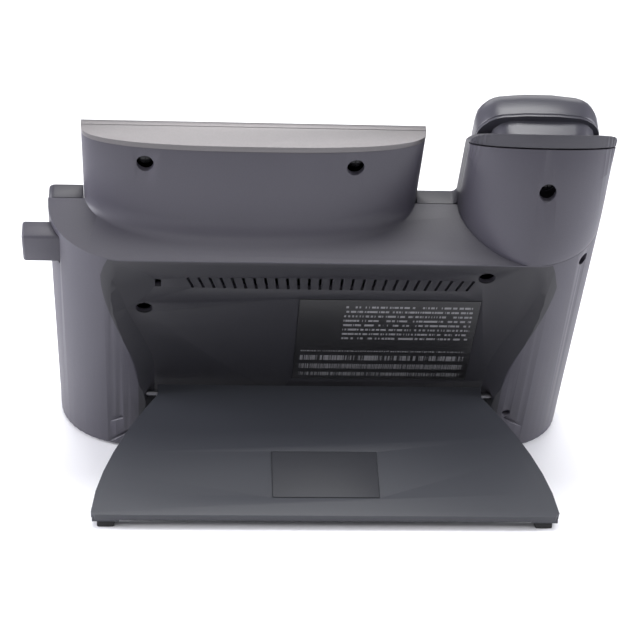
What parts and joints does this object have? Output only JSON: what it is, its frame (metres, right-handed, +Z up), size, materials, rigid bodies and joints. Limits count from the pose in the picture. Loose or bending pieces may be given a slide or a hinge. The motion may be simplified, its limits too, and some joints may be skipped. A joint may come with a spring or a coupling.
{
  "type": "desk ip phone",
  "caption": "Desk phone set leaning back on a folding footstand, with a handset in a side cradle, a display pod and push keys on its front face.",
  "frame": {"origin": "on the desk, under the middle of the set with its footstand open", "axes": "+X across the set towards the display side, +Y from the user to the back, +Z up"},
  "size_m": [0.2738, 0.163, 0.1974],
  "materials": {
    "housing_plastic": "fine grained",
    "stand_plastic": "fine grained",
    "badge_plastic": "smooth",
    "silver_plastic": "satin metallic",
    "handset_plastic": "satin",
    "key_plastic": "satin",
    "display_glass": "polished",
    "lcd_panel": "smooth",
    "transducer": "plain",
    "black_rubber": "matt",
    "mat_rubber": "matt",
    "circuit_board": "solder mask",
    "bright_steel": "bright",
    "label_film": "satin film",
    "socket_plastic": "smooth"
  },
  "bodies": {
    "set": {"base_foot_left": "black_rubber", "base_foot_right": "black_rubber", "display_bezel": "silver_plastic", "display_lens": "display_glass", "front_housing": "housing_plastic", "handset_jack": "socket_plastic", "hinge_rod": "bright_steel", "keypad_mat": "mat_rubber", "lcd_module": "lcd_panel", "loudspeaker": "transducer", "main_board": "circuit_board", "network_jack": "socket_plastic", "rating_label": "label_film", "rear_housing": "housing_plastic", "release_spring": "bright_steel"},
    "stand": {"footstand": "stand_plastic", "stand_badge": "badge_plastic", "stand_foot_left": "black_rubber", "stand_foot_right": "black_rubber"},
    "handset": {"handset_back_shell": "handset_plastic", "handset_front_shell": "handset_plastic", "receiver_capsule": "transducer", "microphone": "transducer"},
    "hook": {"hook_switch": "key_plastic"},
    "release": {"release_button": "housing_plastic"},
    "volume": {"volume_rocker": "key_plastic"},
    "back_key": {"back_key": "key_plastic"},
    "conference_key": {"conference_key": "key_plastic"},
    "headset_key": {"headset_key": "key_plastic"},
    "hold_key": {"hold_key": "key_plastic"},
    "keypad_0": {"keypad_0": "key_plastic"},
    "keypad_1": {"keypad_1": "key_plastic"},
    "keypad_2": {"keypad_2": "key_plastic"},
    "keypad_3": {"keypad_3": "key_plastic"},
    "keypad_4": {"keypad_4": "key_plastic"},
    "keypad_5": {"keypad_5": "key_plastic"},
    "keypad_6": {"keypad_6": "key_plastic"},
    "keypad_7": {"keypad_7": "key_plastic"},
    "keypad_8": {"keypad_8": "key_plastic"},
    "keypad_9": {"keypad_9": "key_plastic"},
    "keypad_pound": {"keypad_pound": "key_plastic"},
    "keypad_star": {"keypad_star": "key_plastic"},
    "line_key_left_1": {"line_key_left_1": "key_plastic"},
    "line_key_left_2": {"line_key_left_2": "key_plastic"},
    "line_key_left_3": {"line_key_left_3": "key_plastic"},
    "line_key_right_1": {"line_key_right_1": "key_plastic"},
    "line_key_right_2": {"line_key_right_2": "key_plastic"},
    "line_key_right_3": {"line_key_right_3": "key_plastic"},
    "mute_key": {"mute_key": "key_plastic"},
    "navigation_ring": {"navigation_ring": "key_plastic"},
    "release_call_key": {"release_call_key": "key_plastic"},
    "select_key": {"select_key": "key_plastic"},
    "soft_key_1": {"soft_key_1": "key_plastic"},
    "soft_key_2": {"soft_key_2": "key_plastic"},
    "soft_key_3": {"soft_key_3": "key_plastic"},
    "soft_key_4": {"soft_key_4": "key_plastic"},
    "speaker_key": {"speaker_key": "key_plastic"},
    "transfer_key": {"transfer_key": "key_plastic"}
  },
  "joints": [
    {"name": "stand_fold", "type": "hinge", "parent": "set", "child": "stand", "pos_m": [-0.00563, 0.00734, 0.03611], "axis": [1, 0, 0], "range_deg": [0, 70]},
    {"name": "handset_lift", "type": "slide", "parent": "set", "child": "handset", "axis": [0, -0.848, 0.5299], "range_m": [0, 0.08]},
    {"name": "hook_rise", "type": "slide", "parent": "set", "child": "hook", "axis": [0, -0.848, 0.5299], "range_m": [0, 0.004]},
    {"name": "release_press", "type": "slide", "parent": "set", "child": "release", "axis": [-1, 0, 0], "range_m": [0, 0.005], "stiffness_N_per_m": 300, "deforming": ["release_spring"]},
    {"name": "volume_rock", "type": "hinge", "parent": "set", "child": "volume", "pos_m": [-0.03043, -0.04452, 0.04388], "axis": [1, 0, 0], "range_deg": [-3, 3], "stiffness_Nm_per_rad": 0.05},
    {"name": "back_key_press", "type": "slide", "parent": "set", "child": "back_key", "axis": [0, 0.848, -0.5299], "range_m": [0, 0.001], "stiffness_N_per_m": 200},
    {"name": "conference_key_press", "type": "slide", "parent": "set", "child": "conference_key", "axis": [0, 0.848, -0.5299], "range_m": [0, 0.001], "stiffness_N_per_m": 200},
    {"name": "headset_key_press", "type": "slide", "parent": "set", "child": "headset_key", "axis": [0, 0.848, -0.5299], "range_m": [0, 0.001], "stiffness_N_per_m": 200},
    {"name": "hold_key_press", "type": "slide", "parent": "set", "child": "hold_key", "axis": [0, 0.848, -0.5299], "range_m": [0, 0.001], "stiffness_N_per_m": 200},
    {"name": "keypad_0_press", "type": "slide", "parent": "set", "child": "keypad_0", "axis": [0, 0.848, -0.5299], "range_m": [0, 0.001], "stiffness_N_per_m": 200},
    {"name": "keypad_1_press", "type": "slide", "parent": "set", "child": "keypad_1", "axis": [0, 0.848, -0.5299], "range_m": [0, 0.001], "stiffness_N_per_m": 200},
    {"name": "keypad_2_press", "type": "slide", "parent": "set", "child": "keypad_2", "axis": [0, 0.848, -0.5299], "range_m": [0, 0.001], "stiffness_N_per_m": 200},
    {"name": "keypad_3_press", "type": "slide", "parent": "set", "child": "keypad_3", "axis": [0, 0.848, -0.5299], "range_m": [0, 0.001], "stiffness_N_per_m": 200},
    {"name": "keypad_4_press", "type": "slide", "parent": "set", "child": "keypad_4", "axis": [0, 0.848, -0.5299], "range_m": [0, 0.001], "stiffness_N_per_m": 200},
    {"name": "keypad_5_press", "type": "slide", "parent": "set", "child": "keypad_5", "axis": [0, 0.848, -0.5299], "range_m": [0, 0.001], "stiffness_N_per_m": 200},
    {"name": "keypad_6_press", "type": "slide", "parent": "set", "child": "keypad_6", "axis": [0, 0.848, -0.5299], "range_m": [0, 0.001], "stiffness_N_per_m": 200},
    {"name": "keypad_7_press", "type": "slide", "parent": "set", "child": "keypad_7", "axis": [0, 0.848, -0.5299], "range_m": [0, 0.001], "stiffness_N_per_m": 200},
    {"name": "keypad_8_press", "type": "slide", "parent": "set", "child": "keypad_8", "axis": [0, 0.848, -0.5299], "range_m": [0, 0.001], "stiffness_N_per_m": 200},
    {"name": "keypad_9_press", "type": "slide", "parent": "set", "child": "keypad_9", "axis": [0, 0.848, -0.5299], "range_m": [0, 0.001], "stiffness_N_per_m": 200},
    {"name": "keypad_pound_press", "type": "slide", "parent": "set", "child": "keypad_pound", "axis": [0, 0.848, -0.5299], "range_m": [0, 0.001], "stiffness_N_per_m": 200},
    {"name": "keypad_star_press", "type": "slide", "parent": "set", "child": "keypad_star", "axis": [0, 0.848, -0.5299], "range_m": [0, 0.001], "stiffness_N_per_m": 200},
    {"name": "line_key_left_1_press", "type": "slide", "parent": "set", "child": "line_key_left_1", "axis": [0, 0.848, -0.5299], "range_m": [0, 0.001], "stiffness_N_per_m": 200},
    {"name": "line_key_left_2_press", "type": "slide", "parent": "set", "child": "line_key_left_2", "axis": [0, 0.848, -0.5299], "range_m": [0, 0.001], "stiffness_N_per_m": 200},
    {"name": "line_key_left_3_press", "type": "slide", "parent": "set", "child": "line_key_left_3", "axis": [0, 0.848, -0.5299], "range_m": [0, 0.001], "stiffness_N_per_m": 200},
    {"name": "line_key_right_1_press", "type": "slide", "parent": "set", "child": "line_key_right_1", "axis": [0, 0.848, -0.5299], "range_m": [0, 0.001], "stiffness_N_per_m": 200},
    {"name": "line_key_right_2_press", "type": "slide", "parent": "set", "child": "line_key_right_2", "axis": [0, 0.848, -0.5299], "range_m": [0, 0.001], "stiffness_N_per_m": 200},
    {"name": "line_key_right_3_press", "type": "slide", "parent": "set", "child": "line_key_right_3", "axis": [0, 0.848, -0.5299], "range_m": [0, 0.001], "stiffness_N_per_m": 200},
    {"name": "mute_key_press", "type": "slide", "parent": "set", "child": "mute_key", "axis": [0, 0.848, -0.5299], "range_m": [0, 0.001], "stiffness_N_per_m": 200},
    {"name": "navigation_ring_press", "type": "slide", "parent": "set", "child": "navigation_ring", "axis": [0, 0.848, -0.5299], "range_m": [0, 0.001], "stiffness_N_per_m": 200},
    {"name": "release_call_key_press", "type": "slide", "parent": "set", "child": "release_call_key", "axis": [0, 0.848, -0.5299], "range_m": [0, 0.001], "stiffness_N_per_m": 200},
    {"name": "select_key_press", "type": "slide", "parent": "set", "child": "select_key", "axis": [0, 0.848, -0.5299], "range_m": [0, 0.001], "stiffness_N_per_m": 200},
    {"name": "soft_key_1_press", "type": "slide", "parent": "set", "child": "soft_key_1", "axis": [0, 0.848, -0.5299], "range_m": [0, 0.001], "stiffness_N_per_m": 200},
    {"name": "soft_key_2_press", "type": "slide", "parent": "set", "child": "soft_key_2", "axis": [0, 0.848, -0.5299], "range_m": [0, 0.001], "stiffness_N_per_m": 200},
    {"name": "soft_key_3_press", "type": "slide", "parent": "set", "child": "soft_key_3", "axis": [0, 0.848, -0.5299], "range_m": [0, 0.001], "stiffness_N_per_m": 200},
    {"name": "soft_key_4_press", "type": "slide", "parent": "set", "child": "soft_key_4", "axis": [0, 0.848, -0.5299], "range_m": [0, 0.001], "stiffness_N_per_m": 200},
    {"name": "speaker_key_press", "type": "slide", "parent": "set", "child": "speaker_key", "axis": [0, 0.848, -0.5299], "range_m": [0, 0.001], "stiffness_N_per_m": 200},
    {"name": "transfer_key_press", "type": "slide", "parent": "set", "child": "transfer_key", "axis": [0, 0.848, -0.5299], "range_m": [0, 0.001], "stiffness_N_per_m": 200}
  ],
  "couplings": [
    {"joint": "hook_rise", "follows": "handset_lift", "ratio": 0.05}
  ]
}
